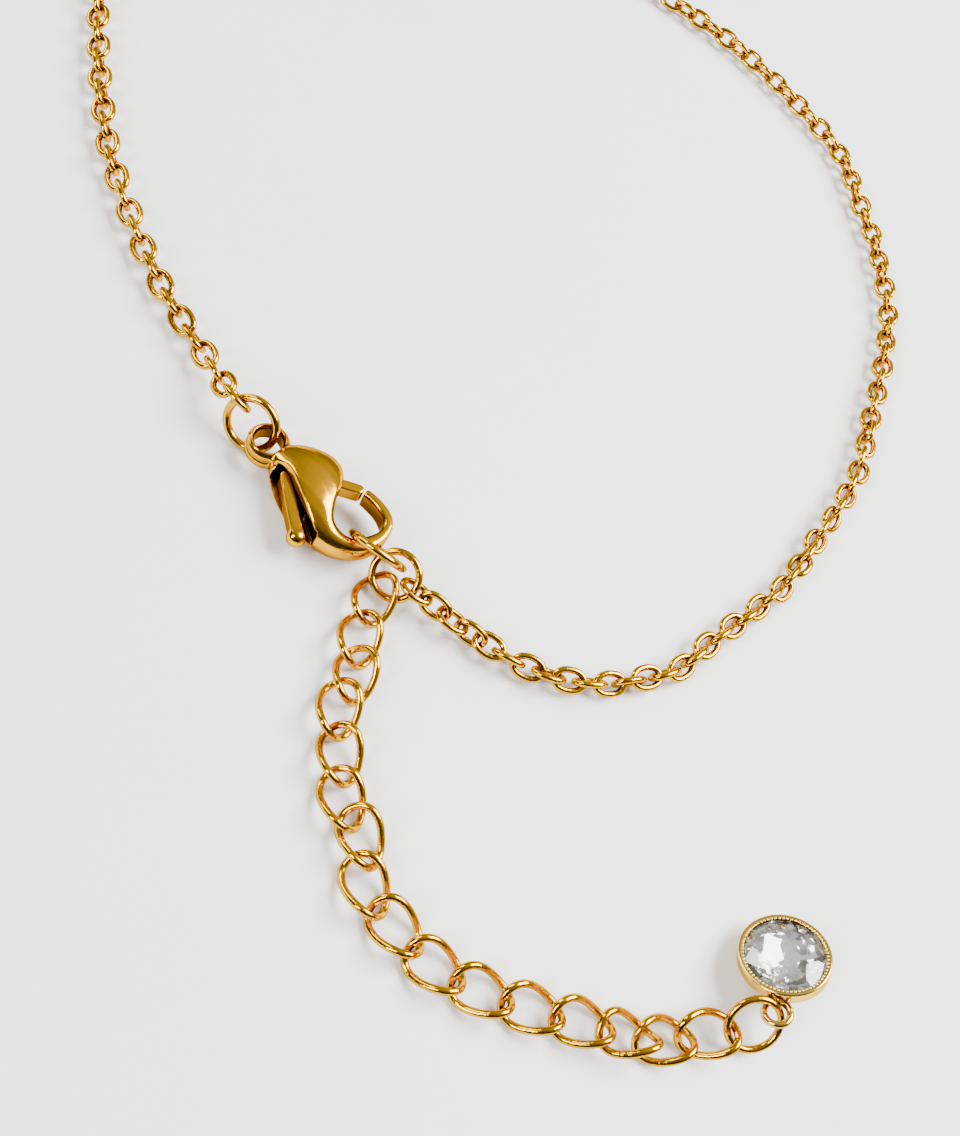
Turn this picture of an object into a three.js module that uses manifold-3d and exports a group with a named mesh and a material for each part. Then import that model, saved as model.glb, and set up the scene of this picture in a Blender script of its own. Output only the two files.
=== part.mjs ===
// Charm anklet with lobster clasp, curb extender and a round stone drop.
// Millimetres, +Z up, lying on the surface z = 0. The wearer's loop lies in the XY plane.
import * as THREE from 'three';
import { mergeVertices } from 'three/addons/utils/BufferGeometryUtils.js';
import Module from 'manifold-3d';

const wasm = await Module();
wasm.setup();
const { Manifold, Mesh: SolidMesh } = wasm;

// Driving sizes.
const CHAIN_WIDTH = 1.9;
const CHAIN_STEPS = 76;
const LINK_LENGTH = 2.53;
const LINK_WIDTH = 1.84;
const LINK_WIRE = 0.45;
const EXTENDER_LENGTH = 4.2;
const EXTENDER_WIDTH = 2.98;
const EXTENDER_WIRE = 0.5;
const EXTENDER_TWIST = 0.55;
const CLASP_RING = { radius: 1.76, wire: 0.56 };
const HOOK_RING = { radius: 1.98, wire: 0.54 };
const JOINING_RING = { radius: 1.55, wire: 0.5 };
const CHARM_RING = { radius: 1.7, wire: 0.46 };
const EYE_RADIUS = 1.45;
const EYE_HOLE = 0.95;
const EYE_HEIGHT = 1.6;
const BODY_MIDDLE = 1.55;
const LEVER_HEIGHT = 1.2;
const LEVER_WIDTH = 0.8;
const GATE_WIDTH = 0.72;
const KNOB_RADIUS = 0.68;
const PIN_RADIUS = 0.36;
const MOVING_GAP = 0.11;
const BEZEL_RADIUS = 2.85;
const BEZEL_WALL = 0.27;
const BEZEL_HEIGHT = 1.9;
const STONE_GAP = 0.03;
const BAIL = { radius: 0.78, wire: 0.44 };
const BAIL_GAP = 0.65;
const CULET_RADIUS = 0.35;

// Places read from the photograph, for the middle of each wire or link.
const CHAIN_ROUTE = [
  [-21.1, -1.0], [-23.6, 0.3], [-27.8, 2.2], [-33.1, 5.4], [-38.2, 9.2], [-42.9, 13.9], [-48.9, 21.2],
  [-53.2, 28.0], [-55.4, 36.0], [-54.6, 44.5], [-50.2, 52.5], [-43.0, 59.0], [-33.5, 63.2], [-24.0, 65.0],
  [-16.9, 65.6], [-10.4, 65.7], [-4.9, 64.8], [1.6, 62.8], [5.3, 60.7], [8.3, 57.2], [11.3, 53.8],
  [13.8, 50.0], [15.6, 46.7], [17.5, 40.2], [18.7, 33.8], [19.6, 29.0], [19.8, 25.2], [19.4, 21.1],
  [18.7, 14.1], [17.9, 11.1], [16.1, 6.0], [14.9, 2.3], [13.3, -0.1], [11.3, -2.1], [9.0, -3.7],
  [6.4, -4.7], [3.5, -5.2], [-0.45, -5.35],
];
const CHAIN_LIFT = { start: 1.1, end: 0.55, reach: 5 };
// Extender: for each link its heading from the last one, its slack, and its roll about its length.
const EXTENDER_STEPS = [
  [-98, 1.52, 7], [-75, 0.12, 0], [-62, 0.72, 0], [-80, 0.62, 0], [-54, 0.27, 0], [-53, 0.42, 0],
  [-29, 0.72, -2], [-51, 0.37, 0], [-19, 0.32, 0], [-9, 0.12, 0], [8, 0.17, 0], [17, 0.08, 0],
  [20, 0.08, -4], [20, 0.37, -19], [28, 0.82, 0], [40, 0.47, 9],
];
const CLASP_PLACE = [-15.9, -3.1];
// How the end links and the first rings lie: place, then tilt, pitch and yaw in degrees.
const LEFT_LINK_POSE = [[-19.2, -2.25, 2.65], 128, 0, -15];
const RIGHT_LINK_POSE = [[-2.4, -5.45, 1.55], -21, -7, 3];
const CLASP_RING_POSE = [[-17.55, -2.7, 1.88], 64, 0, 0];
const HOOK_RING_POSE = [[-5.95, -4.9, 1.93], 124, 0, 0];
const JOINING_TILT = [41, 2, -2];
const CHARM_RING_TILT = [42, -11, 14];
const JOINING_HEIGHT = 1.55;
const CHARM_RING_HEIGHT = 1.78;
const CHARM_RING_HEADING = 42.5;
const CHARM_RING_SLACK = 0.67;
const CHARM_NORMAL = [-0.476, 0.12, 0.871];
const CHARM_TO_BAIL = [0.15, -0.965, 0.214];
const RING_TO_BAIL = [0.68, 1.1, 0.8];
const JOINING_PLACE = [-4.1, -5.4];
const PIVOT = [2.9, -0.4];

const gold = new THREE.MeshStandardMaterial({ color: 0xd9a032, roughness: 0.18, metalness: 1 });
const paleGold = new THREE.MeshStandardMaterial({ color: 0xe6c27a, roughness: 0.2, metalness: 1 });
const clear = new THREE.MeshStandardMaterial({ color: 0xe8eaec, roughness: 0.05, metalness: 0 });

const anklet = new THREE.Group();
anklet.name = 'charm_anklet';

const radians = THREE.MathUtils.degToRad;

// Shared vertices only, with every face turned outward.
function bare(geometry) {
  const plain = geometry.clone();
  plain.deleteAttribute('uv');
  plain.deleteAttribute('normal');
  const merged = mergeVertices(plain, 1e-4);
  const corners = [];
  for (let i = 0; i < merged.index.count; i += 3) {
    const [a, b, c] = [0, 1, 2].map((k) => merged.index.getX(i + k));
    if (a !== b && b !== c && c !== a) {
      corners.push([a, b, c]);
    }
  }
  const at = (i) => new THREE.Vector3().fromBufferAttribute(merged.attributes.position, i);
  const volume = corners.reduce((sum, [a, b, c]) => sum + at(a).dot(at(b).cross(at(c))), 0);
  merged.setIndex(corners.flatMap(([a, b, c]) => (volume < 0 ? [a, c, b] : [a, b, c])));
  return merged;
}

function add(name, geometry, material, matrix) {
  const shaped = bare(geometry);
  if (matrix) {
    shaped.applyMatrix4(matrix);
  }
  shaped.computeVertexNormals();
  const mesh = new THREE.Mesh(shaped, material);
  mesh.name = name;
  anklet.add(mesh);
  return mesh;
}

function toSolid(geometry) {
  const plain = bare(geometry);
  return new Manifold(new SolidMesh({
    numProp: 3,
    vertProperties: new Float32Array(plain.attributes.position.array),
    triVerts: new Uint32Array(plain.index.array),
  }));
}

function toGeometry(solid) {
  const mesh = solid.getMesh();
  const count = mesh.numProp;
  const total = mesh.vertProperties.length / count;
  const positions = new Float32Array(total * 3);
  for (let i = 0; i < total; i += 1) {
    for (let k = 0; k < 3; k += 1) {
      positions[i * 3 + k] = mesh.vertProperties[i * count + k];
    }
  }
  const geometry = new THREE.BufferGeometry();
  geometry.setAttribute('position', new THREE.BufferAttribute(positions, 3));
  geometry.setIndex(new THREE.BufferAttribute(new Uint32Array(mesh.triVerts), 1));
  return geometry;
}

// Tilt lifts the far side, pitch lifts the +X end, yaw turns about Z. All in degrees.
function pose(place, tilt, pitch, yaw) {
  const turn = new THREE.Euler(radians(tilt), -radians(pitch), radians(yaw), 'ZYX');
  const matrix = new THREE.Matrix4().makeRotationFromEuler(turn);
  matrix.setPosition(place[0], place[1], place[2]);
  return matrix;
}

class LoopCurve extends THREE.Curve {
  constructor(halfLength, halfWidth, twist) {
    super();
    this.size = [halfLength, halfWidth, twist];
  }

  getPoint(t, target = new THREE.Vector3()) {
    const angle = t * Math.PI * 2;
    const [length, width, twist] = this.size;
    return target.set(length * Math.cos(angle), width * Math.sin(angle), twist * Math.sin(2 * angle));
  }
}

function loop(length, width, wire, twist, segments, sides) {
  const curve = new LoopCurve((length - wire) / 2, (width - wire) / 2, twist);
  return new THREE.TubeGeometry(curve, segments, wire / 2, sides, true);
}

function ring(size) {
  return new THREE.TorusGeometry(size.radius, size.wire / 2, 8, 20);
}

// Main chain: a plain tube along the chain, lifted at both ends where it climbs to its rings.
const chainCentre = CHAIN_WIDTH / 2;
const flat = new THREE.CatmullRomCurve3(
  CHAIN_ROUTE.map(([x, y]) => new THREE.Vector3(x, y, 0)), false, 'centripetal');
const chainLength = flat.getLength();
const chainPoints = flat.getSpacedPoints(CHAIN_STEPS * 2).map((point, i, all) => {
  const along = (i / (all.length - 1)) * chainLength;
  const fromStart = Math.max(0, 1 - along / CHAIN_LIFT.reach) ** 2;
  const fromEnd = Math.max(0, 1 - (chainLength - along) / CHAIN_LIFT.reach) ** 2;
  const lift = CHAIN_LIFT.start * fromStart + CHAIN_LIFT.end * fromEnd;
  return new THREE.Vector3(point.x, point.y, chainCentre + 0.01 + lift);
});
const chainSection = new THREE.Shape();
for (let i = 0; i < 8; i += 1) {
  const angle = radians(22.5 + 45 * i);
  const reach = chainCentre / Math.cos(radians(22.5));
  const x = reach * Math.cos(angle);
  const y = reach * Math.sin(angle);
  if (i === 0) {
    chainSection.moveTo(x, y);
  } else {
    chainSection.lineTo(x, y);
  }
}
chainSection.closePath();
add('main_chain', new THREE.ExtrudeGeometry(chainSection, {
  steps: CHAIN_STEPS,
  bevelEnabled: false,
  extrudePath: new THREE.CatmullRomCurve3(chainPoints, false, 'centripetal'),
}), gold);

// The chain's two end links, looped on their rings.
const endLink = loop(LINK_LENGTH, LINK_WIDTH, LINK_WIRE, 0, 16, 6);
add('chain_end_link_left', endLink, gold, pose(...LEFT_LINK_POSE));
add('chain_end_link_right', endLink, gold, pose(...RIGHT_LINK_POSE));

// Plain rings.
add('clasp_ring', ring(CLASP_RING), gold, pose(...CLASP_RING_POSE));
add('hook_ring', ring(HOOK_RING), gold, pose(...HOOK_RING_POSE));
add('joining_ring', ring(JOINING_RING), gold, pose([...JOINING_PLACE, JOINING_HEIGHT], ...JOINING_TILT));

// Extender: twisted links that lie flat, each turned along the line of its neighbours.
const extenderLink = loop(EXTENDER_LENGTH, EXTENDER_WIDTH, EXTENDER_WIRE, -EXTENDER_TWIST, 18, 6);
const flatHeight = EXTENDER_TWIST + EXTENDER_WIRE / 2 + 0.02;
const linkReach = (EXTENDER_LENGTH - EXTENDER_WIRE) / 2;
const lastLink = EXTENDER_STEPS.length - 1;

function step([x, y], heading, distance) {
  return [x + distance * Math.cos(radians(heading)), y + distance * Math.sin(radians(heading))];
}

const linkPlaces = [];
EXTENDER_STEPS.forEach(([heading, slack], i) => {
  const taut = i === 0 ? JOINING_RING.radius + linkReach : 2 * linkReach - EXTENDER_WIRE;
  linkPlaces.push(step(linkPlaces[i - 1] ?? JOINING_PLACE, heading, taut - slack));
});
const END_POSES = { 0: [0.07, -1, -78], [lastLink]: [0.35, 10, 34] };
linkPlaces.forEach(([x, y], i) => {
  const before = linkPlaces[Math.max(i - 1, 0)];
  const after = linkPlaces[Math.min(i + 1, lastLink)];
  const along = THREE.MathUtils.radToDeg(Math.atan2(after[1] - before[1], after[0] - before[0]));
  const roll = EXTENDER_STEPS[i][2];
  const rollLift = Math.abs(Math.sin(radians(roll))) * (EXTENDER_WIDTH / 2 - linkReach / 3);
  const [lift, pitch, yaw] = END_POSES[i] ?? [rollLift, 0, along];
  const name = `extender_link_${String(i + 1).padStart(2, '0')}`;
  add(name, extenderLink, gold, pose([x, y, flatHeight + lift], roll, pitch, yaw));
});
const charmRingStep = linkReach + CHARM_RING.radius - CHARM_RING_SLACK;
const charmRingPlace = [...step(linkPlaces[lastLink], CHARM_RING_HEADING, charmRingStep), CHARM_RING_HEIGHT];
add('charm_ring', ring(CHARM_RING), gold, pose(charmRingPlace, ...CHARM_RING_TILT));

// Clasp. Stations run from the eye round to the hook's tip: inner edge, outer edge, bottom, top.
const CLASP_STATIONS = [
  [[1.0, 0.55], [0.8, -0.95], 0.75, 2.35],
  [[1.3, 1.0], [1.4, -1.7], 0.35, 2.6],
  [[1.95, 1.54], [2.4, -2.6], 0.1, 2.9],
  [[2.9, 1.92], [3.4, -3.25], 0, 3.1],
  [[3.86, 2.08], [4.3, -3.7], 0, 3.15],
  [[4.65, 1.87], [5.2, -3.9], 0, 3.1],
  [[5.25, 1.3], [6.0, -3.97], 0, 3.0],
  [[5.6, 0.1], [6.6, -3.93], 0, 2.85],
  [[5.85, -0.9], [7.1, -3.87], 0.05, 2.7],
  [[6.3, -1.75], [7.7, -3.75], 0.15, 2.55],
  [[7.1, -2.25], [8.3, -3.5], 0.35, 2.45],
  [[7.9, -2.3], [8.95, -3.1], 0.55, 2.4],
  [[8.5, -1.9], [9.5, -2.55], 0.7, 2.4],
  [[8.97, -1.3], [9.83, -1.75], 0.8, 2.4],
  [[9.24, -0.7], [9.97, -0.8], 0.8, 2.4],
  [[9.14, -0.05], [9.83, 0.15], 0.8, 2.4],
  [[8.72, 0.33], [9.3, 0.85], 0.8, 2.4],
  [[8.05, 0.62], [8.4, 1.25], 0.8, 2.4],
  [[7.32, 0.77], [7.45, 1.42], 0.8, 2.4],
  [[6.95, 0.79], [6.95, 1.42], 0.85, 2.35],
];
const SECTION_POINTS = 24;
const ROWS_PER_STATION = 2;
const SOLE = 0.12;
// Section roundness, across and up: 1 is an oval, less is squarer. The hook is squarer than the shell.
const SHELL_ROUNDNESS = [0.85, 0.9];
const HOOK_ROUNDNESS = [0.5, 0.45];
const HOOK_START = 0.6;
const HOOK_BLEND = 0.1;

function claspLoft() {
  const positions = [];
  const triangles = [];
  const lines = [0, 1].map((k) => new THREE.CatmullRomCurve3(
    CLASP_STATIONS.map((station) => new THREE.Vector3(...station[k], station[k + 2])), false, 'centripetal'));
  const rows = (CLASP_STATIONS.length - 1) * ROWS_PER_STATION + 1;
  for (let i = 0; i < rows; i += 1) {
    const [inner, outer] = lines.map((line) => line.getPoint(i / (rows - 1)));
    inner.z -= SOLE * Math.max(0, 1 - inner.z / 0.3);
    const hooked = THREE.MathUtils.clamp((i / (rows - 1) - HOOK_START) / HOOK_BLEND, 0, 1);
    const wide = THREE.MathUtils.lerp(SHELL_ROUNDNESS[0], HOOK_ROUNDNESS[0], hooked);
    const tall = THREE.MathUtils.lerp(SHELL_ROUNDNESS[1], HOOK_ROUNDNESS[1], hooked);
    for (let j = 0; j < SECTION_POINTS; j += 1) {
      const angle = (j / SECTION_POINTS) * Math.PI * 2;
      const across = Math.sign(Math.cos(angle)) * Math.abs(Math.cos(angle)) ** wide;
      const up = Math.sign(Math.sin(angle)) * Math.abs(Math.sin(angle)) ** tall;
      const share = (1 + across) / 2;
      positions.push(
        inner.x + (outer.x - inner.x) * share,
        inner.y + (outer.y - inner.y) * share,
        (inner.z + outer.z) / 2 + (up * (outer.z - inner.z)) / 2,
      );
    }
  }
  for (let i = 0; i < rows - 1; i += 1) {
    for (let j = 0; j < SECTION_POINTS; j += 1) {
      const a = i * SECTION_POINTS + j;
      const b = i * SECTION_POINTS + ((j + 1) % SECTION_POINTS);
      const c = a + SECTION_POINTS;
      const d = b + SECTION_POINTS;
      triangles.push(a, b, c, b, d, c);
    }
  }
  for (let j = 1; j < SECTION_POINTS - 1; j += 1) {
    const end = (rows - 1) * SECTION_POINTS;
    triangles.push(0, j + 1, j);
    triangles.push(end, end + j, end + j + 1);
  }
  const geometry = new THREE.BufferGeometry();
  geometry.setAttribute('position', new THREE.Float32BufferAttribute(positions, 3));
  geometry.setIndex(triangles);
  return geometry;
}

function prism(points, bottom, top) {
  const shape = new THREE.Shape(points.map(([x, y]) => new THREE.Vector2(x, y)));
  const geometry = new THREE.ExtrudeGeometry(shape, { depth: top - bottom, bevelEnabled: false, steps: 1 });
  geometry.translate(0, 0, bottom);
  return geometry;
}

// Prism whose top outline differs from its bottom one, corner for corner.
function slanted(low, high, bottom, top) {
  const count = low.length;
  const positions = [...low.map(([x, y]) => [x, y, bottom]), ...high.map(([x, y]) => [x, y, top])].flat();
  const caps = THREE.ShapeUtils.triangulateShape(low.map(([x, y]) => new THREE.Vector2(x, y)), []);
  const triangles = caps.flatMap(([a, b, c]) => [a, c, b, a + count, b + count, c + count]);
  for (let i = 0; i < count; i += 1) {
    const next = (i + 1) % count;
    triangles.push(i, next, i + count, next, next + count, i + count);
  }
  const geometry = new THREE.BufferGeometry();
  geometry.setAttribute('position', new THREE.Float32BufferAttribute(positions, 3));
  geometry.setIndex(triangles);
  return geometry;
}

function post(radius, bottom, top, x, y, sides) {
  const geometry = new THREE.CylinderGeometry(radius, radius, top - bottom, sides);
  geometry.rotateX(Math.PI / 2);
  geometry.translate(x, y, (top + bottom) / 2);
  return geometry;
}

// Closed profile [radius, height] turned about Z.
function turned(profile, segments) {
  const closed = [...profile, profile[0]].map(([r, z]) => new THREE.Vector2(r, z));
  const geometry = new THREE.LatheGeometry(closed, segments);
  geometry.rotateX(Math.PI / 2);
  return geometry;
}

const eyeLow = BODY_MIDDLE - EYE_HEIGHT / 2;
const eyeHigh = BODY_MIDDLE + EYE_HEIGHT / 2;
const eyeInner = EYE_HOLE;
const eyeProfile = [
  [eyeInner, eyeLow + 0.28], [eyeInner + 0.16, eyeLow], [EYE_RADIUS - 0.2, eyeLow],
  [EYE_RADIUS, eyeLow + 0.18], [EYE_RADIUS, BODY_MIDDLE - 0.16], [EYE_RADIUS - 0.16, BODY_MIDDLE - 0.04],
  [EYE_RADIUS - 0.16, BODY_MIDDLE + 0.04], [EYE_RADIUS - 0.02, BODY_MIDDLE + 0.16],
  [EYE_RADIUS - 0.02, eyeHigh - 0.3], [EYE_RADIUS - 0.16, eyeHigh - 0.16], [EYE_RADIUS - 0.22, eyeHigh],
  [eyeInner + 0.16, eyeHigh], [eyeInner, eyeHigh - 0.28],
];
const eyeRing = turned(eyeProfile.slice().reverse(), 28);

const slotLow = BODY_MIDDLE - LEVER_HEIGHT / 2 - MOVING_GAP;
const slotHigh = BODY_MIDDLE + LEVER_HEIGHT / 2 + MOVING_GAP;
const slotOutline = [
  [1.4, -2.6], [1.5, -1.0], [1.95, 0.1], [2.7, 0.5], [5.0, 1.62], [6.6, 1.7], [6.6, -0.75],
  [5.2, -0.95], [4.3, -1.1], [5.0, -2.6], [6.3, -3.55], [6.6, -5.2], [1.4, -5.2],
];
const topTrim = [
  [1.2, -1.15], [2.0, -1.15], [2.6, -1.45], [3.2, -1.88], [4.0, -2.42], [5.0, -3.06], [5.9, -3.55],
  [6.5, -3.9], [6.7, -5.2], [1.2, -5.2],
].reverse();
const TRIM_SLANT = [0.1, 0.18];
const topTrimHigh = topTrim.map(([x, y]) => [x + TRIM_SLANT[0], y + TRIM_SLANT[1]]);

const BELOW_ALL = -2;
const ABOVE_ALL = 4;
const aroundClasp = [[-3, -6], [12, -6], [12, 4], [-3, 4]];
let body = toSolid(claspLoft()).add(toSolid(eyeRing));
body = body.subtract(toSolid(post(EYE_HOLE, BELOW_ALL, ABOVE_ALL, 0, 0, 28)));
body = body.subtract(toSolid(prism(slotOutline, slotLow, slotHigh)));
body = body.subtract(toSolid(slanted(topTrim, topTrimHigh, slotHigh - 0.3, slotHigh + 1.1)));
body = body.subtract(toSolid(prism(aroundClasp, BELOW_ALL, 0)));
body = body.add(toSolid(post(PIN_RADIUS, slotLow - 0.3, slotHigh + 0.3, PIVOT[0], PIVOT[1], 16)));
const claspPlace = new THREE.Matrix4().makeTranslation(CLASP_PLACE[0], CLASP_PLACE[1], 0);
add('clasp_body', toGeometry(body), gold, claspPlace);

// Lever: thumb arm with a round knob, hub on the pin, and the gate tongue that meets the hook.
function bar(from, to, width, bottom, top) {
  const along = new THREE.Vector2(to[0] - from[0], to[1] - from[1]).normalize();
  const side = new THREE.Vector2(-along.y, along.x).multiplyScalar(width / 2);
  const corners = [
    [from[0] + side.x, from[1] + side.y], [from[0] - side.x, from[1] - side.y],
    [to[0] - side.x, to[1] - side.y], [to[0] + side.x, to[1] + side.y],
  ];
  return prism(corners, bottom, top);
}

const leverLow = BODY_MIDDLE - LEVER_HEIGHT / 2;
const leverHigh = BODY_MIDDLE + LEVER_HEIGHT / 2;
const armRoot = [2.35, -1.35];
const armBend = [3.9, -2.95];
const knobPlace = [5.35, -4.35];
const gateTip = [6.5, 1.12];
let lever = toSolid(post(0.62, leverLow, leverHigh, PIVOT[0], PIVOT[1], 20));
lever = lever.add(toSolid(bar(PIVOT, armRoot, LEVER_WIDTH, leverLow, leverHigh)));
lever = lever.add(toSolid(post(LEVER_WIDTH / 2, leverLow, leverHigh, armRoot[0], armRoot[1], 16)));
lever = lever.add(toSolid(bar(armRoot, armBend, LEVER_WIDTH, leverLow, leverHigh)));
lever = lever.add(toSolid(post(LEVER_WIDTH / 2, leverLow, leverHigh, armBend[0], armBend[1], 16)));
lever = lever.add(toSolid(bar(armBend, knobPlace, LEVER_WIDTH, leverLow, leverHigh)));
const knob = new THREE.SphereGeometry(KNOB_RADIUS, 16, 10);
knob.rotateX(Math.PI / 2);
knob.translate(knobPlace[0], knobPlace[1], BODY_MIDDLE);
lever = lever.add(toSolid(knob));
lever = lever.add(toSolid(bar(PIVOT, gateTip, GATE_WIDTH, leverLow, leverHigh)));
lever = lever.add(toSolid(post(GATE_WIDTH / 2, leverLow, leverHigh, gateTip[0], gateTip[1], 16)));
lever = lever.subtract(toSolid(post(PIN_RADIUS + MOVING_GAP, BELOW_ALL, ABOVE_ALL, PIVOT[0], PIVOT[1], 16)));
add('clasp_lever', toGeometry(lever), gold, claspPlace);

// Charm: bezel cup, neck and bail loop soldered as one, with the stone clear of the cup.
const charmUp = new THREE.Vector3(...CHARM_NORMAL).normalize();
const toBail = new THREE.Vector3(...CHARM_TO_BAIL).projectOnPlane(charmUp).normalize();
const charmBack = toBail.clone().negate();
const charmSide = new THREE.Vector3().crossVectors(charmBack, charmUp);
const charmMatrix = new THREE.Matrix4().makeBasis(charmSide, charmBack, charmUp);
const bailReach = BEZEL_RADIUS + BAIL_GAP;
const bailPlace = new THREE.Vector3(...RING_TO_BAIL).setLength(CHARM_RING.radius - 0.18)
  .add(new THREE.Vector3(...charmRingPlace));
charmMatrix.setPosition(bailPlace.addScaledVector(toBail, -bailReach));

const rimHigh = BEZEL_HEIGHT / 2;
const rimLow = -BEZEL_HEIGHT / 2;
const cupInside = BEZEL_RADIUS - BEZEL_WALL;
const baseRadius = BEZEL_RADIUS * 0.7;
const cupProfile = [
  [cupInside - 0.1, rimHigh - 0.06], [cupInside + 0.04, rimHigh], [BEZEL_RADIUS - 0.06, rimHigh],
  [BEZEL_RADIUS, rimHigh - 0.08], [BEZEL_RADIUS, rimHigh - 0.8], [BEZEL_RADIUS - 0.16, rimHigh - 0.98],
  [baseRadius, rimLow], [baseRadius - 0.45, rimLow], [baseRadius - 0.45, rimLow + 0.25],
  [cupInside - 0.3, rimHigh - 0.72], [cupInside, rimHigh - 0.6], [cupInside, rimHigh - 0.2],
];
let setting = toSolid(turned(cupProfile.slice().reverse(), 40));
const bail = new THREE.TorusGeometry(BAIL.radius, BAIL.wire / 2, 8, 20);
bail.translate(0, -bailReach, 0);
const solder = new THREE.SphereGeometry(0.3, 12, 8);
solder.scale(1, 0.6, 1);
solder.translate(0, -(BEZEL_RADIUS - 0.05), 0.15);
setting = setting.add(toSolid(bail)).add(toSolid(solder));
add('charm_setting', toGeometry(setting), paleGold, charmMatrix);

// Round brilliant: flat table, eight star-side mains, girdle and pavilion to a small culet.
const stoneRadius = cupInside - STONE_GAP;
const tableRadius = stoneRadius * 0.56;
const crownHeight = 0.42;
const girdleTop = rimHigh - 0.24;
const girdleLow = girdleTop - 0.1;
const pavilionLow = rimLow + 0.35;
const facets = 16;
const stonePositions = [];
const stoneTriangles = [];

function stoneRow(radius, height, turn) {
  const first = stonePositions.length / 3;
  for (let i = 0; i < facets; i += 1) {
    const angle = ((i + turn) / facets) * Math.PI * 2;
    stonePositions.push(radius * Math.cos(angle), radius * Math.sin(angle), height);
  }
  return first;
}

function joinRows(lower, upper) {
  for (let i = 0; i < facets; i += 1) {
    const next = (i + 1) % facets;
    stoneTriangles.push(lower + i, lower + next, upper + i);
    stoneTriangles.push(lower + next, upper + next, upper + i);
  }
}

const culetRow = stoneRow(CULET_RADIUS, pavilionLow, 0.5);
const girdleLowRow = stoneRow(stoneRadius, girdleLow, 0);
const girdleTopRow = stoneRow(stoneRadius, girdleTop, 0);
const crownRow = stoneRow((stoneRadius + tableRadius) / 2 + 0.1, girdleTop + crownHeight * 0.62, 0.5);
const tableRow = stoneRow(tableRadius, girdleTop + crownHeight, 0.5);
joinRows(culetRow, girdleLowRow);
joinRows(girdleLowRow, girdleTopRow);
joinRows(girdleTopRow, crownRow);
joinRows(crownRow, tableRow);
for (let i = 1; i < facets - 1; i += 1) {
  stoneTriangles.push(culetRow, culetRow + i + 1, culetRow + i);
  stoneTriangles.push(tableRow, tableRow + i, tableRow + i + 1);
}
const stone = new THREE.BufferGeometry();
stone.setAttribute('position', new THREE.Float32BufferAttribute(stonePositions, 3));
stone.setIndex(stoneTriangles);
add('charm_stone', stone, clear, charmMatrix);

// Put the origin at the bottom centre of the whole part.
const bounds = new THREE.Box3().setFromObject(anklet);
const centre = bounds.getCenter(new THREE.Vector3());
anklet.children.forEach((mesh) => {
  mesh.geometry.translate(-centre.x, -centre.y, -bounds.min.z);
});

export default anklet;
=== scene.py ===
"""Looks for the charm anklet: fine cable chain, rounded rings and links, clasp, bezel and stone."""

import math
import random
from bisect import bisect_left

import bpy
from mathutils import Euler, Matrix, Vector
from mathutils.bvhtree import BVHTree


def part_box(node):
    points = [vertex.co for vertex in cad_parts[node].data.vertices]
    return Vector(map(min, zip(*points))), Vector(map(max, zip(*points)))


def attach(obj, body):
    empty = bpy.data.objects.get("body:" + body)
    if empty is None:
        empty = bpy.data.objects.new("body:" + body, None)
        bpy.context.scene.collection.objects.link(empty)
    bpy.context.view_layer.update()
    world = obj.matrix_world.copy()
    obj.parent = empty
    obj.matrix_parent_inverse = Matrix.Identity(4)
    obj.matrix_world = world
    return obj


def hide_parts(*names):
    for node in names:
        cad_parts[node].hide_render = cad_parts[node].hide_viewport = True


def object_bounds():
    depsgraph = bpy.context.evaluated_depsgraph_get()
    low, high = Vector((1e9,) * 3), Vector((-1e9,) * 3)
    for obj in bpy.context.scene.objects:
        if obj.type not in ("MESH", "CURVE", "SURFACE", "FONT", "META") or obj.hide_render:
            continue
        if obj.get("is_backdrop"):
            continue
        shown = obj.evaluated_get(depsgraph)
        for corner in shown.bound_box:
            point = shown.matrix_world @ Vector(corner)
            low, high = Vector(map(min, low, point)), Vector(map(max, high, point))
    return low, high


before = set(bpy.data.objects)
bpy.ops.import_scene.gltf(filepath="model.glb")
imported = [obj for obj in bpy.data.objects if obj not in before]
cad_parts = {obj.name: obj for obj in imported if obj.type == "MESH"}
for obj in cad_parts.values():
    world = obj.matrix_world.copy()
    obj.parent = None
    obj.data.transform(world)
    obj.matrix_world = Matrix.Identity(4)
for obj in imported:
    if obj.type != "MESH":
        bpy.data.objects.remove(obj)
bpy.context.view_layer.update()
MM = 0.001

# Sizes in millimetres, as in the part's source.
CHAIN_WIDTH = 1.9
LINK_LENGTH = 2.53
LINK_WIDTH = 1.84
LINK_WIRE = 0.45
EXTENDER_LENGTH = 4.2
EXTENDER_WIDTH = 2.98
EXTENDER_WIRE = 0.5
EXTENDER_TWIST = 0.55
CLASP_RING = (1.76, 0.56)
HOOK_RING = (1.98, 0.54)
JOINING_RING = (1.55, 0.5)
CHARM_RING = (1.7, 0.46)
BEZEL_RADIUS = 2.85
BEZEL_WALL = 0.27
BEZEL_HEIGHT = 1.9
STONE_GAP = 0.03
BAIL = (0.78, 0.44)
BAIL_GAP = 0.65
# The extender's round wire, a trace thinner than the source's so that it stays inside the source's box.
EXTENDER_ROUND = 0.477

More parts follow.
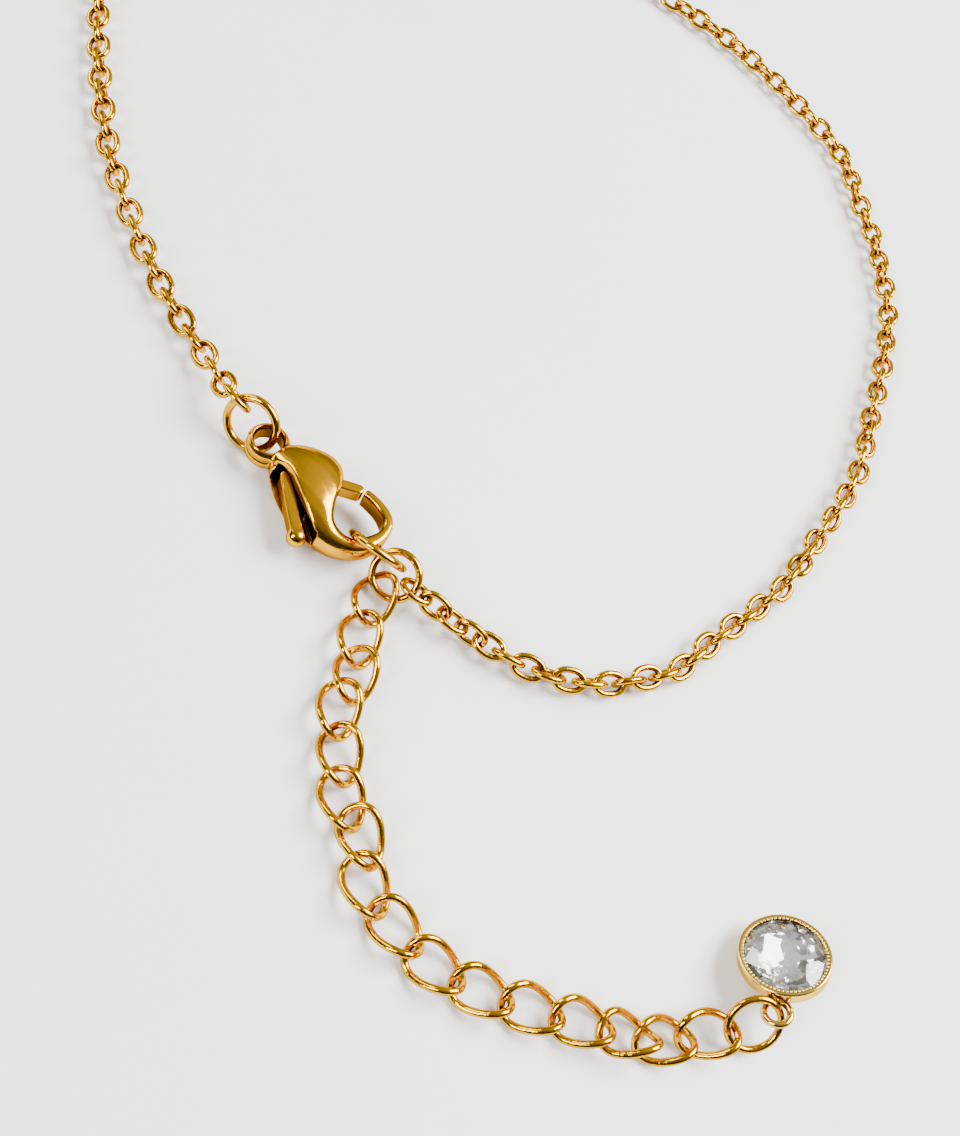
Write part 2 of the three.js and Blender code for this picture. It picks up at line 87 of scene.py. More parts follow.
# Places in the source's own frame, in millimetres.
CHAIN_ROUTE = [
    (-21.1, -1.0), (-23.6, 0.3), (-27.8, 2.2), (-33.1, 5.4), (-38.2, 9.2), (-42.9, 13.9), (-48.9, 21.2),
    (-53.2, 28.0), (-55.4, 36.0), (-54.6, 44.5), (-50.2, 52.5), (-43.0, 59.0), (-33.5, 63.2), (-24.0, 65.0),
    (-16.9, 65.6), (-10.4, 65.7), (-4.9, 64.8), (1.6, 62.8), (5.3, 60.7), (8.3, 57.2), (11.3, 53.8),
    (13.8, 50.0), (15.6, 46.7), (17.5, 40.2), (18.7, 33.8), (19.6, 29.0), (19.8, 25.2), (19.4, 21.1),
    (18.7, 14.1), (17.9, 11.1), (16.1, 6.0), (14.9, 2.3), (13.3, -0.1), (11.3, -2.1), (9.0, -3.7),
    (6.4, -4.7), (3.5, -5.2), (-0.45, -5.35),
]
JOINING_PLACE = (-4.1, -5.4)
EXTENDER_STEPS = [
    (-98, 1.52, 7), (-75, 0.12, 0), (-62, 0.72, 0), (-80, 0.62, 0), (-54, 0.27, 0), (-53, 0.42, 0),
    (-29, 0.72, -2), (-51, 0.37, 0), (-19, 0.32, 0), (-9, 0.12, 0), (8, 0.17, 0), (17, 0.08, 0),
    (20, 0.08, -4), (20, 0.37, -19), (28, 0.82, 0), (40, 0.47, 9),
]
CHARM_NORMAL = (-0.476, 0.12, 0.871)
CHARM_TO_BAIL = (0.15, -0.965, 0.214)
RING_TO_BAIL = (0.68, 1.1, 0.8)
CHARM_RING_HEADING = 42.5
CHARM_RING_SLACK = 0.67
CHARM_RING_HEIGHT = 1.78
JOINING_HEIGHT = 1.55
LEFT_LINK_POSE = (-19.2, -2.25, 2.65, 128, 0, -15)
RIGHT_LINK_POSE = (-2.4, -5.45, 1.55, -21, -7, 3)
FLAT_LINK = 10


def step(point, heading, distance):
    turn = math.radians(heading)
    return (point[0] + distance * math.cos(turn), point[1] + distance * math.sin(turn))


link_reach = (EXTENDER_LENGTH - EXTENDER_WIRE) / 2
flat_height = EXTENDER_TWIST + EXTENDER_WIRE / 2 + 0.02
link_places = []
for i, (heading, slack, roll) in enumerate(EXTENDER_STEPS):
    taut = 2 * link_reach - EXTENDER_WIRE if i else JOINING_RING[0] + link_reach
    link_places.append(step(link_places[-1] if i else JOINING_PLACE, heading, taut - slack))
charm_ring_reach = link_reach + CHARM_RING[0] - CHARM_RING_SLACK
charm_ring_place = (*step(link_places[-1], CHARM_RING_HEADING, charm_ring_reach), CHARM_RING_HEIGHT)

# Where the source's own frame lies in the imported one, read from the box of one flat link.
low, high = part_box("extender_link_10")
shift = (low + high) / (2 * MM) - Vector((*link_places[FLAT_LINK - 1], 0))
shift.z = 0.0


def place(x, y, z=0.0):
    """A point of the source's frame, in metres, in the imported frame."""
    return (Vector((x, y, z)) + shift) * MM


def pose(x, y, z, tilt, pitch, yaw):
    turn = Euler((math.radians(tilt), -math.radians(pitch), math.radians(yaw)), "XYZ")
    return Matrix.Translation(place(x, y, z)) @ turn.to_matrix().to_4x4()


class Tree:
    """Short calls for the nodes used here. A value is a number, a colour, a vector or a node's output."""

    def __init__(self, owner):
        owner.use_nodes = True
        self.nodes = owner.node_tree.nodes
        self.links = owner.node_tree.links

    def feed(self, socket, value):
        if isinstance(value, bpy.types.NodeSocket):
            self.links.new(value, socket)
        else:
            socket.default_value = value

    def add(self, kind, values, output):
        node = self.nodes.new("ShaderNode" + kind)
        for name, value in values.items():
            self.feed(node.inputs[name], value)
        return node.outputs[output]

    def object_place(self):
        return self.add("TexCoord", {}, "Object")

    def noise(self, scale, detail=2.0):
        return self.add("TexNoise", {"Vector": self.object_place(), "Scale": scale, "Detail": detail}, "Fac")

    def ranged(self, value, low, high, start=0.0, end=1.0):
        """The value's course from start to end, as a number from low to high."""
        values = {"Value": value, "From Min": start, "From Max": end, "To Min": low, "To Max": high}
        return self.add("MapRange", values, "Result")

    def ramp(self, value, stops):
        node = self.nodes.new("ShaderNodeValToRGB")
        self.feed(node.inputs["Fac"], value)
        elements = node.color_ramp.elements
        elements[0].position, elements[1].position = stops[0][0], stops[-1][0]
        for position, _ in stops[1:-1]:
            elements.new(position)
        for element, (_, colour) in zip(elements, stops):
            element.color = (*colour, 1)
        return node.outputs["Color"]

    def mix(self, share, first, second):
        node = self.nodes.new("ShaderNodeMix")
        node.data_type = "RGBA"
        for name, value in (("Factor", share), ("A", first), ("B", second)):
            self.feed(node.inputs[name], value)
        return node.outputs["Result"]

    def vector(self, operation, *values, output="Vector"):
        node = self.nodes.new("ShaderNodeVectorMath")
        node.operation = operation
        for socket, value in zip(node.inputs, values):
            self.feed(socket, value)
        return node.outputs[output]

    def scaled(self, value, factor):
        node = self.nodes.new("ShaderNodeVectorMath")
        node.operation = "SCALE"
        self.feed(node.inputs[0], value)
        self.feed(node.inputs["Scale"], factor)
        return node.outputs["Vector"]

    def shade(self, values):
        """Sets the material's own shader."""
        for name, value in values.items():
            self.feed(self.nodes["Principled BSDF"].inputs[name], value)


# Materials.
# Painted shade: a dark brown mixed into the metal's colour in recesses, where parts touch and on the clasp's
# inner walls.
PAINTED_SHADE_BROWN = (0.14, 0.05, 0.008, 1)
DENT_DEPTH = 0.04 * MM
GOLD_EDGE = (0.4, 0.34, 0.2)
# Painted reflection on the stone's silvered back: a light calm patch round one spot, and painted glints and
# dark speckles in the chips away from it.
PAINTED_LIGHT_COLOUR = (0.98, 0.97, 0.99, 1)
PAINTED_LIGHT_SPOT = (-0.5, 0.5, -0.3)
PAINTED_LIGHT_REACH = (1.0, 1.9)
CHIP_SCALE = 2600
PAINTED_GLINT_SHADES = [(0.25, (0.26, 0.26, 0.20)), (0.55, (0.99, 0.99, 0.97))]
BACK_FACES = (-0.31, 0.09, 0.95)


def polished(name, colour, deep, edge, roughness, bump, scale):
    """Plated metal: slow colour change, drawing marks, small dents, and painted shade, a dark brown in
    recesses and on the clasp's inner walls.
    """
    material = bpy.data.materials.new(name)
    tree = Tree(material)
    cloud = tree.noise(scale, 3.0)
    shade_attribute = tree.nodes.new("ShaderNodeAttribute")
    shade_attribute.attribute_name = "painted_recess_shade"
    plating = tree.ramp(cloud, [(0.35, deep), (0.65, colour)])
    dents = {"Strength": bump, "Distance": DENT_DEPTH, "Height": tree.noise(scale * 6, 4.0)}
    tree.shade({
        "Base Color": tree.mix(shade_attribute.outputs["Fac"], plating, PAINTED_SHADE_BROWN),
        "Roughness": tree.ranged(cloud, roughness * 0.8, roughness * 1.5),
        "Normal": tree.add("Bump", dents, "Normal"),
        "Metallic": 1.0,
        "Specular Tint": (*edge, 1),
    })
    return material


gold = polished("yellow_gold", (0.74, 0.385, 0.002), (0.64, 0.30, 0.0), GOLD_EDGE, 0.12, 0.7, 420)
clasp_gold = polished("clasp_gold", (0.78, 0.39, 0.002), (0.68, 0.31, 0.0), GOLD_EDGE, 0.14, 0.25, 200)
pale_gold = polished("pale_gold", (0.92, 0.63, 0.13), (0.86, 0.54, 0.08), (0.6, 0.5, 0.3), 0.12, 0.2, 250)


def stone_material():
    """Clear stone with a trace of haze."""
    material = bpy.data.materials.new("clear_stone")
    tree = Tree(material)
    tree.shade({
        "Base Color": (0.99, 0.99, 0.99, 1),
        "IOR": 1.9,
        "Transmission Weight": 1.0,
        "Roughness": tree.ranged(tree.noise(700), 0.0, 0.04, 0.55, 0.8),
    })
    return material


def foil_material(light_spot):
    """Silvered back of the cut stone with painted reflection: a light calm patch round one spot, and away
    from it chips with painted glints and dark speckles.
    """
    material = bpy.data.materials.new("silvered_back_painted_light")
    tree = Tree(material)
    apart = tree.vector("DISTANCE", tree.object_place(), light_spot, output="Value")
    broken = tree.ranged(apart, 0.0, 1.0, PAINTED_LIGHT_REACH[0] * MM, PAINTED_LIGHT_REACH[1] * MM)
    chips = tree.add("TexVoronoi", {"Vector": tree.object_place(), "Scale": CHIP_SCALE}, "Color")
    tilt = tree.vector("SUBTRACT", chips, (0.5, 0.5, 0.5))
    lean = tree.scaled(tilt, tree.ranged(broken, 0.04, 0.64))
    surface = tree.add("NewGeometry", {}, "Normal")
    flat = tree.vector("ADD", tree.scaled(surface, tree.ranged(broken, 0.2, 0.3)), BACK_FACES)
    tree.shade({
        "Base Color": tree.mix(broken, PAINTED_LIGHT_COLOUR, tree.ramp(chips, PAINTED_GLINT_SHADES)),
        "Normal": tree.vector("NORMALIZE", tree.vector("ADD", flat, lean)),
        "Metallic": tree.ranged(broken, 0.75, 0.7),
        "Roughness": 0.02,
    })
    return material


# Shapes.
def new_object(name, vertices, faces, material, smooth=True):
    mesh = bpy.data.meshes.new(name)
    mesh.from_pydata([tuple(v) for v in vertices], [], faces)
    mesh.update()
    if smooth:
        mesh.shade_smooth()
    obj = bpy.data.objects.new(name, mesh)
    bpy.context.scene.collection.objects.link(obj)
    mesh.materials.append(material)
    return obj


def loop_mesh(half_length, half_width, twist, wire, steps, sides, squareness=1.0):
    """Vertices and faces of a closed wire loop, lying in XY, with a figure-of-eight lift of +-twist."""
    def centre(t):
        c, s = math.cos(t), math.sin(t)
        x = half_length * math.copysign(abs(c) ** squareness, c)
        y = half_width * math.copysign(abs(s) ** squareness, s)
        return Vector((x, y, twist * math.sin(2 * t)))

    vertices, faces = [], []
    for i in range(steps):
        t = 2 * math.pi * i / steps
        ahead = (centre(t + 0.01) - centre(t - 0.01)).normalized()
        out = (centre(t) - Vector((0, 0, centre(t).z))).normalized()
        out = (out - ahead * out.dot(ahead)).normalized()
        up = ahead.cross(out).normalized()
        for j in range(sides):
            a = 2 * math.pi * j / sides
            vertices.append(centre(t) + (out * math.cos(a) + up * math.sin(a)) * wire / 2)
    for i in range(steps):
        for j in range(sides):
            a, b = i * sides + j, i * sides + (j + 1) % sides
            c, d = ((i + 1) % steps) * sides + (j + 1) % sides, ((i + 1) % steps) * sides + j
            faces.append((a, b, c, d))
    return vertices, faces


def joined(shapes):
    """Several shapes as one list of vertices and one of faces."""
    vertices, faces = [], []
    for more_vertices, more_faces in shapes:
        first = len(vertices)
        vertices.extend(more_vertices)
        faces.extend(tuple(first + k for k in face) for face in more_faces)
    return vertices, faces


def posed(vertices, matrix):
    return [matrix @ (v * MM) for v in vertices]


def wire_piece(name, node, shape, matrix, material):
    vertices, faces = shape
    obj = new_object(name, posed(vertices, matrix), faces, material)
    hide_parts(node)
    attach(obj, "anklet")
    return obj


# The camera, set before the pieces so that the links can face it as they do in the photograph.
CAMERA_HEIGHT = 72.27
CAMERA_ELEVATION = math.radians(55.5)
CAMERA_ROLL = math.radians(36)
FOCAL_PX = 1300
PHOTO_HEIGHT = 1136
SENSOR_HEIGHT = 36
camera_data = bpy.data.cameras.new("camera")
camera_data.sensor_fit = "VERTICAL"
camera_data.sensor_height = SENSOR_HEIGHT
camera_data.lens = SENSOR_HEIGHT * FOCAL_PX / PHOTO_HEIGHT
camera_data.clip_start = 0.005
camera = bpy.data.objects.new("camera", camera_data)
bpy.context.scene.collection.objects.link(camera)
back = CAMERA_HEIGHT / math.tan(CAMERA_ELEVATION)
camera.location = place(0, -back, CAMERA_HEIGHT)
look = Matrix.Rotation(math.radians(90) - CAMERA_ELEVATION, 4, "X")
camera.matrix_world = Matrix.Translation(camera.location) @ look @ Matrix.Rotation(CAMERA_ROLL, 4, "Z")
bpy.context.scene.camera = camera

# Cable chain: real links along the tube's own route, taut on the left and slack at the lower right.
TAUT_PITCH = 1.575
SLACK_PITCH = 1.44
SLACK_FROM = 150
SLACK_OVER = 25
FIRST_GUESS = 0.55
LAST_GUESS = 0.6
FIRST_STOP = -0.82
PAST_END = 0.45
CLIMB = 5
START_LIFT = 0.98
START_SHIFT = (-0.158, -0.274)
END_LIFT = 0.32
END_TWIST = 51
END_TWIST_REACH = 6
FLOOR_GAP = 0.01
LOOK_AHEAD = 0.6
ROLL_PLAY = 9
SIDE_PLAY = 0.05
SLACK_ROLL = 12
SLACK_WAVE = 0.9
FACING = Vector((-0.05, -0.5, 0.86)).normalized()
random.seed(7)


def spline(points, samples):
    """Centripetal spline through the points, as dense points and their running length."""
    dense = []
    for i in range(len(points) - 1):
        p1, p2 = Vector(points[i]), Vector(points[i + 1])
        p0 = Vector(points[i - 1]) if i else p1 * 2 - p2
        p3 = Vector(points[i + 2]) if i + 2 < len(points) else p2 * 2 - p1
        t1 = (p1 - p0).length ** 0.5
        t2 = t1 + (p2 - p1).length ** 0.5
        t3 = t2 + (p3 - p2).length ** 0.5
        for k in range(samples):
            t = t1 + (t2 - t1) * k / samples
            a1 = p0 * ((t1 - t) / t1) + p1 * (t / t1)
            a2 = p1 * ((t2 - t) / (t2 - t1)) + p2 * ((t - t1) / (t2 - t1))
            a3 = p2 * ((t3 - t) / (t3 - t2)) + p3 * ((t - t2) / (t3 - t2))
            b1 = a1 * ((t2 - t) / t2) + a2 * (t / t2)
            b2 = a2 * ((t3 - t) / (t3 - t1)) + a3 * ((t - t1) / (t3 - t1))
            dense.append(b1 * ((t2 - t) / (t2 - t1)) + b2 * ((t - t1) / (t2 - t1)))
    dense.append(Vector(points[-1]))
    lengths = [0.0]
    for a, b in zip(dense, dense[1:]):
        lengths.append(lengths[-1] + (b - a).length)
    return dense, lengths


route, along = spline(CHAIN_ROUTE, 24)
total = along[-1]


def on_route(distance):
    """The route's point at a distance from its start, carried straight on past either end."""
    i = min(max(bisect_left(along, distance) - 1, 0), len(along) - 2)
    return route[i].lerp(route[i + 1], (distance - along[i]) / (along[i + 1] - along[i]))


def link_loop(steps, sides, squareness):
    """One cable chain link."""
    half_length, half_width = (LINK_LENGTH - LINK_WIRE) / 2, (LINK_WIDTH - LINK_WIRE) / 2
    return loop_mesh(half_length, half_width, 0, LINK_WIRE, steps, sides, squareness)


def slack_share(distance):
    """0 where the chain is taut, 1 where it lies slack."""
    return min(1, max(0, (distance - SLACK_FROM) / SLACK_OVER))


def chain_line(stop):
    """The chain's centre line, which climbs to the end link at each end."""
    point = on_route(stop)
    from_start = max(0.0, 1 - stop / CLIMB) ** 2
    from_end = max(0.0, 1 - (total - stop) / CLIMB) ** 2
    height = CHAIN_WIDTH / 2 + FLOOR_GAP + START_LIFT * from_start + END_LIFT * from_end
    return Vector((point.x + START_SHIFT[0] * from_start, point.y + START_SHIFT[1] * from_start, height))


def chain_stops():
    """Where each link's middle lies along the route, spread so that both end links are reached."""
    stops = [FIRST_GUESS]
    while stops[-1] < total - LAST_GUESS:
        stops.append(stops[-1] + TAUT_PITCH + (SLACK_PITCH - TAUT_PITCH) * slack_share(stops[-1]))
    scale = (total + PAST_END - FIRST_STOP) / (stops[-1] - FIRST_GUESS)
    return [FIRST_STOP + (stop - FIRST_GUESS) * scale for stop in stops]


def chain_link(i, stop):
    """Vertices and faces of one link, turned a quarter from the last one, with a little play."""
    point = chain_line(stop)
    ahead = (chain_line(stop + LOOK_AHEAD) - chain_line(stop - LOOK_AHEAD)).normalized()
    facing = (FACING - ahead * FACING.dot(ahead)).normalized()
    slack = slack_share(stop)
    roll = random.uniform(-ROLL_PLAY, ROLL_PLAY) * (1 + slack) + 90 * (i % 2)
    roll += SLACK_ROLL * slack * math.sin(i * SLACK_WAVE)
    roll += END_TWIST * max(0, 1 - (total - stop) / END_TWIST_REACH)
    up = (Matrix.Rotation(math.radians(roll), 3, ahead) @ facing).normalized()
    side = up.cross(ahead).normalized()
    wobble = random.uniform(-SIDE_PLAY, SIDE_PLAY) * (1 + slack)
    centre = place(point.x + side.x * wobble, point.y + side.y * wobble, point.z)
    matrix = Matrix.Translation(centre) @ Matrix((ahead, side, up)).transposed().to_4x4()
    return posed(link_shape[0], matrix), link_shape[1]


link_shape = link_loop(28, 10, 0.9)
chain_vertices, chain_faces = joined(chain_link(i, stop) for i, stop in enumerate(chain_stops()))
chain = new_object("cable_chain_links", chain_vertices, chain_faces, gold)
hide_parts("main_chain")
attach(chain, "anklet")

end_shape = link_loop(32, 12, 0.95)
wire_piece("left_end_link", "chain_end_link_left", end_shape, pose(*LEFT_LINK_POSE), gold)
wire_piece("right_end_link", "chain_end_link_right", end_shape, pose(*RIGHT_LINK_POSE), gold)

# Rings.
RINGS = {
    "clasp_ring": (CLASP_RING, (-17.55, -2.7, 1.88, 64, 0, 0)),
    "hook_ring": (HOOK_RING, (-5.95, -4.9, 1.93, 124, 0, 0)),
    "joining_ring": (JOINING_RING, (*JOINING_PLACE, JOINING_HEIGHT, 41, 2, -2)),
    "charm_ring": (CHARM_RING, (*charm_ring_place, 42, -11, 14)),
}
for ring_name, ((radius, wire), where) in RINGS.items():
    shape = loop_mesh(radius, radius, 0, wire, 56, 14)
    wire_piece(f"{ring_name}_round", ring_name, shape, pose(*where), gold)

# Extender links, each turned along the line of its neighbours.
extender_shape = loop_mesh(
    link_reach, (EXTENDER_WIDTH - EXTENDER_WIRE) / 2, -EXTENDER_TWIST, EXTENDER_ROUND, 64, 14)
last = len(link_places) - 1
END_POSES = {0: (0.07, -1, -78), last: (0.35, 10, 34)}
for i, (x, y) in enumerate(link_places):
    before = link_places[max(i - 1, 0)]
    after = link_places[min(i + 1, last)]
    roll = EXTENDER_STEPS[i][2]
    along_row = math.degrees(math.atan2(after[1] - before[1], after[0] - before[0]))
    roll_lift = abs(math.sin(math.radians(roll))) * (EXTENDER_WIDTH / 2 - link_reach / 3)
    lift, pitch, yaw = END_POSES.get(i, (roll_lift, 0, along_row))
    where = (x, y, flat_height + lift, roll, pitch, yaw)
    number = f"{i + 1:02d}"
    wire_piece(f"extender_round_{number}", f"extender_link_{number}", extender_shape, pose(*where), gold)


def softened(name, node, voxel, rounds, material):
    """The node's own form as a fine even skin with cast, slightly rounded edges; sizes in millimetres."""
    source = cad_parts[node]
    mesh = source.data.copy()
    mesh.transform(Matrix.Scale(1 / MM, 4))
    work = bpy.data.objects.new("work", mesh)
    bpy.context.scene.collection.objects.link(work)
    skin = work.modifiers.new("skin", "REMESH")
    skin.mode = "VOXEL"
    skin.voxel_size = voxel
    soft = work.modifiers.new("soft", "SMOOTH")
    soft.factor = 0.5
    soft.iterations = rounds
    bpy.context.view_layer.update()
    made = bpy.data.meshes.new_from_object(work.evaluated_get(bpy.context.evaluated_depsgraph_get()))
    bpy.data.objects.remove(work)
    made.transform(Matrix.Scale(MM, 4))
    made.shade_smooth()
    made.materials.clear()
    made.materials.append(material)
    obj = bpy.data.objects.new(name, made)
    bpy.context.scene.collection.objects.link(obj)
    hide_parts(node)
    return obj


clasp = softened("clasp_cast_body", "clasp_body", 0.07, 10, clasp_gold)
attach(clasp, "anklet")
lever = softened("clasp_cast_lever", "clasp_lever", 0.055, 26, clasp_gold)
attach(lever, "lever")

# Charm: turned bezel with a beaded inner rim, bail loop and a round brilliant.
BAIL_INSET = 0.18
CUP_EASE = 0.07
SOLDER = 0.3
BEADS = 66
BEAD = 0.1
TABLE = 0.56
CROWN_HEIGHT = 0.42
GIRDLE_DEPTH = 0.24
GIRDLE = 0.1
CULET_HEIGHT = 0.35
normal = Vector(CHARM_NORMAL).normalized()
to_bail = Vector(CHARM_TO_BAIL)
to_bail = (to_bail - normal * to_bail.dot(normal)).normalized()
back_way = -to_bail
side_way = back_way.cross(normal)
bail_reach = BEZEL_RADIUS + BAIL_GAP
bail_offset = Vector(RING_TO_BAIL).normalized() * (CHARM_RING[0] - BAIL_INSET)
bail_place = place(*charm_ring_place) + bail_offset * MM
charm_matrix = Matrix((side_way, back_way, normal)).transposed().to_4x4()
charm_matrix.translation = bail_place - to_bail * bail_reach * MM
rim = BEZEL_HEIGHT / 2
inside = BEZEL_RADIUS - BEZEL_WALL
base = BEZEL_RADIUS * 0.7


def turned(profile, steps):
    """The closed profile of radius and height, turned round the charm's axis."""
    vertices, faces = [], []
    rows = len(profile)
    for i in range(steps):
        a = 2 * math.pi * i / steps
        vertices.extend(Vector((r * math.cos(a), r * math.sin(a), z)) for r, z in profile)
    for i in range(steps):
        for j in range(rows):
            k, m = (j + 1) % rows, ((i + 1) % steps) * rows
            faces.append((i * rows + j, i * rows + k, m + k, m + j))
    return vertices, faces


def rounded(profile, reach):
    """Each corner of the closed profile cut back and eased with three points."""
    out = []
    count = len(profile)
    for i, here in enumerate(profile):
        p, before, after = Vector(here), Vector(profile[i - 1]), Vector(profile[(i + 1) % count])
        cut = min(reach, 0.4 * (before - p).length, 0.4 * (after - p).length)
        a = p + (before - p).normalized() * cut
        b = p + (after - p).normalized() * cut
        out.extend([tuple(a), tuple((a + b + p * 2) / 4), tuple(b)])
    return out


cup = [
    (inside - 0.1, rim - 0.06), (inside + 0.04, rim), (BEZEL_RADIUS - 0.06, rim), (BEZEL_RADIUS, rim - 0.08),
    (BEZEL_RADIUS, rim - 0.8), (BEZEL_RADIUS - 0.16, rim - 0.98), (base, -rim), (base - 0.45, -rim),
    (base - 0.45, -rim + 0.25), (inside - 0.3, rim - 0.72), (inside, rim - 0.6), (inside, rim - 0.2),
]
parts = [turned(rounded(cup, CUP_EASE), 144)]
bail_shape = loop_mesh(BAIL[0], BAIL[0], 0, BAIL[1], 48, 14)
parts.append(([v + Vector((0, -bail_reach, 0)) for v in bail_shape[0]], bail_shape[1]))


def ball(centre, radius, stretch, across, down):
    """A ball of flat rings between two poles, stretched along each axis."""
    vertices, faces = [], []
    for i in range(1, down):
        for j in range(across):
            a, b = math.pi * i / down, 2 * math.pi * j / across
            spot = Vector((math.sin(a) * math.cos(b), math.sin(a) * math.sin(b), math.cos(a)))
            vertices.append(centre + Vector(k * m for k, m in zip(spot, stretch)) * radius)
    top, bottom = len(vertices), len(vertices) + 1
    vertices.append(centre + Vector((0, 0, radius * stretch[2])))
    vertices.append(centre - Vector((0, 0, radius * stretch[2])))
    for j in range(across):
        k = (j + 1) % across
        faces.append((top, j, k))
        faces.append((bottom, (down - 2) * across + k, (down - 2) * across + j))
        for i in range(down - 2):
            faces.append((i * across + j, (i + 1) * across + j, (i + 1) * across + k, i * across + k))
    return vertices, faces


parts.append(ball(Vector((0, -(BEZEL_RADIUS - 0.05), 0.15)), SOLDER, (1, 0.6, 1), 20, 12))
for i in range(BEADS):
    a = 2 * math.pi * i / BEADS
    spot = Vector(((inside - 0.02) * math.cos(a), (inside - 0.02) * math.sin(a), rim - 0.045))
    parts.append(ball(spot, BEAD, (1, 1, 0.75), 8, 6))
vertices, faces = joined(parts)
setting = new_object("beaded_setting", posed(vertices, charm_matrix), faces, pale_gold)
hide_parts("charm_setting")
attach(setting, "anklet")


def brilliant(radius, table, crown_top, girdle_top, girdle_low, culet):
    """Round cut stone: table, stars and kites above the girdle, three rows of facets below it."""
    vertices = []

    def row(count, reach, height, turn):
        first = len(vertices)
        for k in range(count):
            a = math.radians(turn + 360 * k / count)
            vertices.append(Vector((reach * math.cos(a), reach * math.sin(a), height)))
        return [first + k for k in range(count)]

    tops = row(8, table, crown_top, 22.5)
    stars = row(8, table + (radius - table) * 0.48, girdle_top + (crown_top - girdle_top) * 0.62, 0)
    high = row(16, radius, girdle_top, 0)
    low_row = row(16, radius, girdle_low, 0)
    middle = row(16, radius * 0.68, culet + (girdle_low - culet) * 0.61, 11.25)
    inner = row(16, radius * 0.35, culet + (girdle_low - culet) * 0.27, 0)
    point = len(vertices)
    vertices.append(Vector((0, 0, culet)))
    faces = [tuple(tops)]
    for k in range(8):
        after = (k + 1) % 8
        g0, g1, g2 = 2 * k, 2 * k + 1, (2 * k + 2) % 16
        faces.append((tops[k - 1], stars[k], tops[k]))
        faces.append((tops[k], stars[k], high[g1]))
        faces.append((tops[k], high[g1], stars[after]))
        faces.append((stars[k], high[g0], high[g1]))
        faces.append((stars[after], high[g1], high[g2]))
    for k in range(16):
        after = (k + 1) % 16
        faces.append((high[k], low_row[k], low_row[after], high[after]))
        faces.append((low_row[after], low_row[k], middle[k]))
        faces.append((middle[k], middle[after], low_row[after]))
        faces.append((middle[k - 1], inner[k], middle[k]))
        faces.append((inner[k], inner[after], middle[k]))
        faces.append((inner[after], inner[k], point))
    return vertices, faces


stone_radius = inside - STONE_GAP
girdle_top = rim - GIRDLE_DEPTH
vertices, faces = brilliant(
    stone_radius, stone_radius * TABLE, girdle_top + CROWN_HEIGHT, girdle_top, girdle_top - GIRDLE,
    -rim + CULET_HEIGHT)
stone = new_object(
    "round_brilliant", posed(vertices, charm_matrix), faces, stone_material(), smooth=False)
stone.data.materials.append(foil_material(charm_matrix @ (Vector(PAINTED_LIGHT_SPOT) * MM)))
for face, corners in zip(stone.data.polygons, faces):
    below = max(vertices[k].z for k in corners) < girdle_top - GIRDLE / 2
    face.material_index = 1 if below else 0
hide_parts("charm_stone")
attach(stone, "anklet")

# Inner walls of the clasp that get painted shade, in the source's own frame: the hook's mouth and the eye,
# each with its reach.
INNER_WALLS = [(Vector((-8.2, -3.8)), 2.1), (Vector((-15.9, -3.1)), 1.15)]
INNER_WALL_SHADE_SHARE = 0.75
# Turn between one ray and the next, which spreads any number of rays evenly.
GOLDEN_TURN = 2.399963
RAY_START = 0.02
# Share of the rays that may be met before a spot counts as hidden, and the share over which its painted shade
# darkens.
OPEN_SHARE = 0.3
HIDING_SHARE = 0.5


def inner_wall(spot, way):
    """How far a spot of the clasp faces the middle of the hook's mouth or of the eye."""
    facing = 0.0
    for centre, radius in INNER_WALLS:
        inward = centre - spot.xy
        if 1e-6 < inward.length < radius:
            facing = max(facing, way.xy.dot(inward.normalized()))
    return facing ** 0.7


def ray_spread(rays):
    """Directions spread evenly over the half ball round +Z, denser near it."""
    spread = []
    for i in range(rays):
        up = math.sqrt(1 - (i + 0.5) / rays)
        out = math.sqrt(1 - up ** 2)
        turn = GOLDEN_TURN * i
        spread.append((out * math.cos(turn), out * math.sin(turn), up))
    return spread


def paint_recess_shade(pieces, rays, reach):
    """Vertex attribute of painted shade: how much of each spot's view is closed off within reach."""
    tree = BVHTree.FromPolygons(*joined(
        ([v.co / MM for v in obj.data.vertices], [face.vertices for face in obj.data.polygons])
        for obj in pieces))
    spread = ray_spread(rays)
    for obj in pieces:
        values = []
        for vertex in obj.data.vertices:
            way = vertex.normal
            side = way.orthogonal().normalized()
            other = way.cross(side)
            start = vertex.co / MM + way * RAY_START
            met = 0
            for x, y, z in spread:
                if tree.ray_cast(start, side * x + other * y + way * z, reach)[0]:
                    met += 1
            closed = min(1.0, max(0.0, (met / rays - OPEN_SHARE) / HIDING_SHARE))
            if obj == clasp:
                closed = max(closed, INNER_WALL_SHADE_SHARE * inner_wall(start - shift, way))
            values.append(closed)
        layer = obj.data.attributes.new("painted_recess_shade", "FLOAT", "POINT")
        layer.data.foreach_set("value", values)
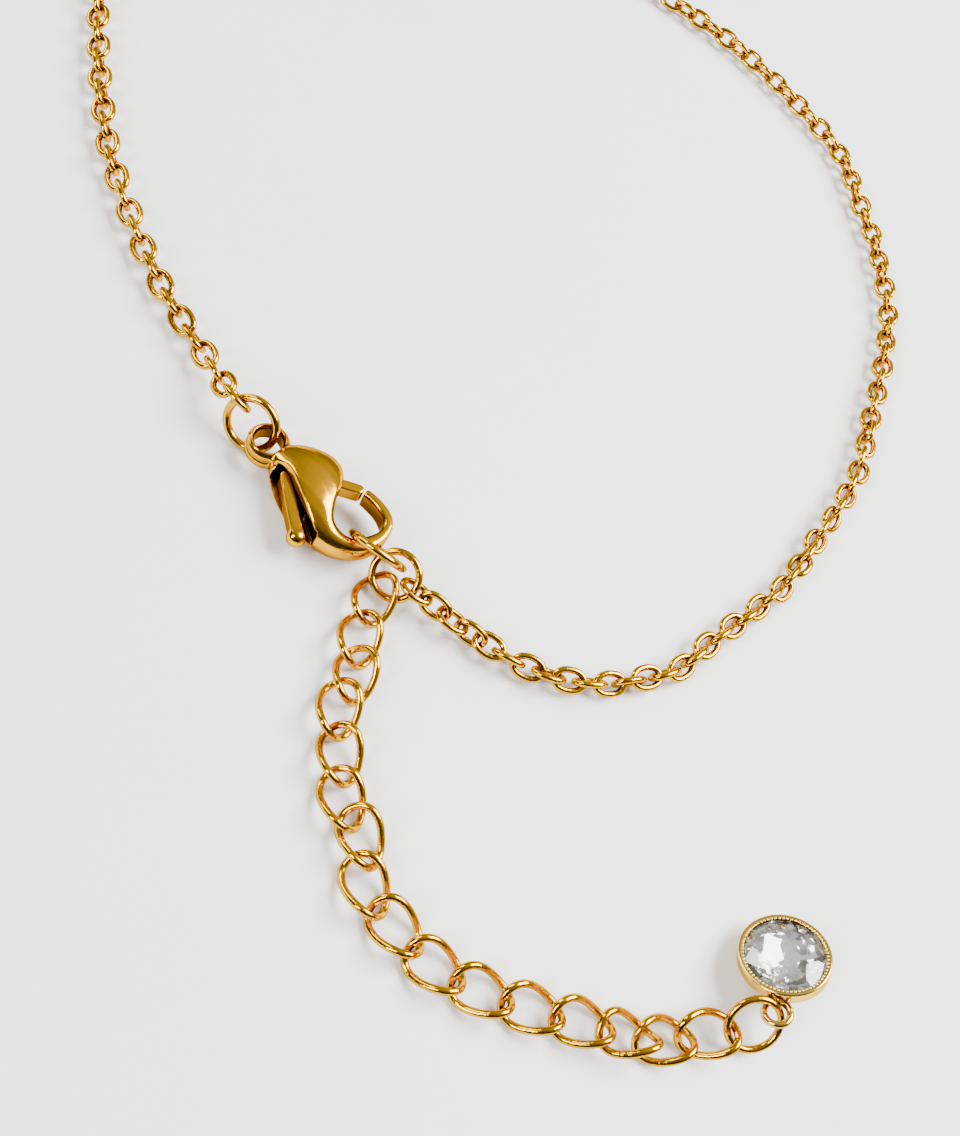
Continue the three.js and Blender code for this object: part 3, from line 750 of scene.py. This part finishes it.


# Painted shade from ray-cast closeness: darker in the clasp's recesses and inner walls, where links touch,
# and in the setting's hollows.
paint_recess_shade([clasp, lever], 24, 1.6)
wires = [obj for obj in bpy.context.scene.objects if obj.type == "MESH" and gold.name in obj.data.materials]
paint_recess_shade([*wires, setting], 12, 0.9)

# Floor and light.
FLOOR_HALF = 3.0
FLOOR_DROP = 0.00002
FLOOR_TINT = [(0.0, (0.83, 0.84, 0.84)), (1.0, (0.86, 0.87, 0.87))]
BRIGHT_SIDE = (0.1, 0.6, 0.79)
SKY = [(0.1, (0.04, 0.04, 0.04)), (0.75, (0.42, 0.43, 0.44)), (1.0, (0.85, 0.86, 0.88))]
floor_material = bpy.data.materials.new("white_surface")
tree = Tree(floor_material)
tree.shade({"Base Color": tree.ramp(tree.noise(60), FLOOR_TINT), "Roughness": 0.55})
corners = [(-FLOOR_HALF, -FLOOR_HALF, 0), (FLOOR_HALF, -FLOOR_HALF, 0),
           (FLOOR_HALF, FLOOR_HALF, 0), (-FLOOR_HALF, FLOOR_HALF, 0)]
floor = new_object("floor", corners, [(0, 1, 2, 3)], floor_material, smooth=False)
floor.location.z = -FLOOR_DROP
floor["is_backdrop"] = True

world = bpy.data.worlds.new("studio")
tree = Tree(world)
direction = tree.add("TexCoord", {}, "Generated")
toward = tree.vector("DOT_PRODUCT", direction, BRIGHT_SIDE, output="Value")
tree.feed(tree.nodes["Background"].inputs["Color"], tree.ramp(toward, SKY))
bpy.context.scene.world = world


def soft_box(name, where, width, height, power, colour):
    """An area light that faces the anklet's middle."""
    data = bpy.data.lights.new(name, "AREA")
    data.shape = "RECTANGLE"
    data.size = width
    data.size_y = height
    data.energy = power
    data.color = colour
    obj = bpy.data.objects.new(name, data)
    bpy.context.scene.collection.objects.link(obj)
    obj.location = Vector(where)
    obj.rotation_euler = (-obj.location).to_track_quat("-Z", "Y").to_euler()


soft_box("key", (0.30, 0.25, 0.45), 0.40, 0.40, 13.5, (1.0, 0.99, 0.97))
soft_box("fill", (-0.45, 0.1, 0.3), 0.12, 0.35, 2.0, (0.95, 0.98, 1.0))
soft_box("front", (-0.26, -0.40, 0.36), 0.12, 0.30, 4.0, (1.0, 0.99, 0.98))

low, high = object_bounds()
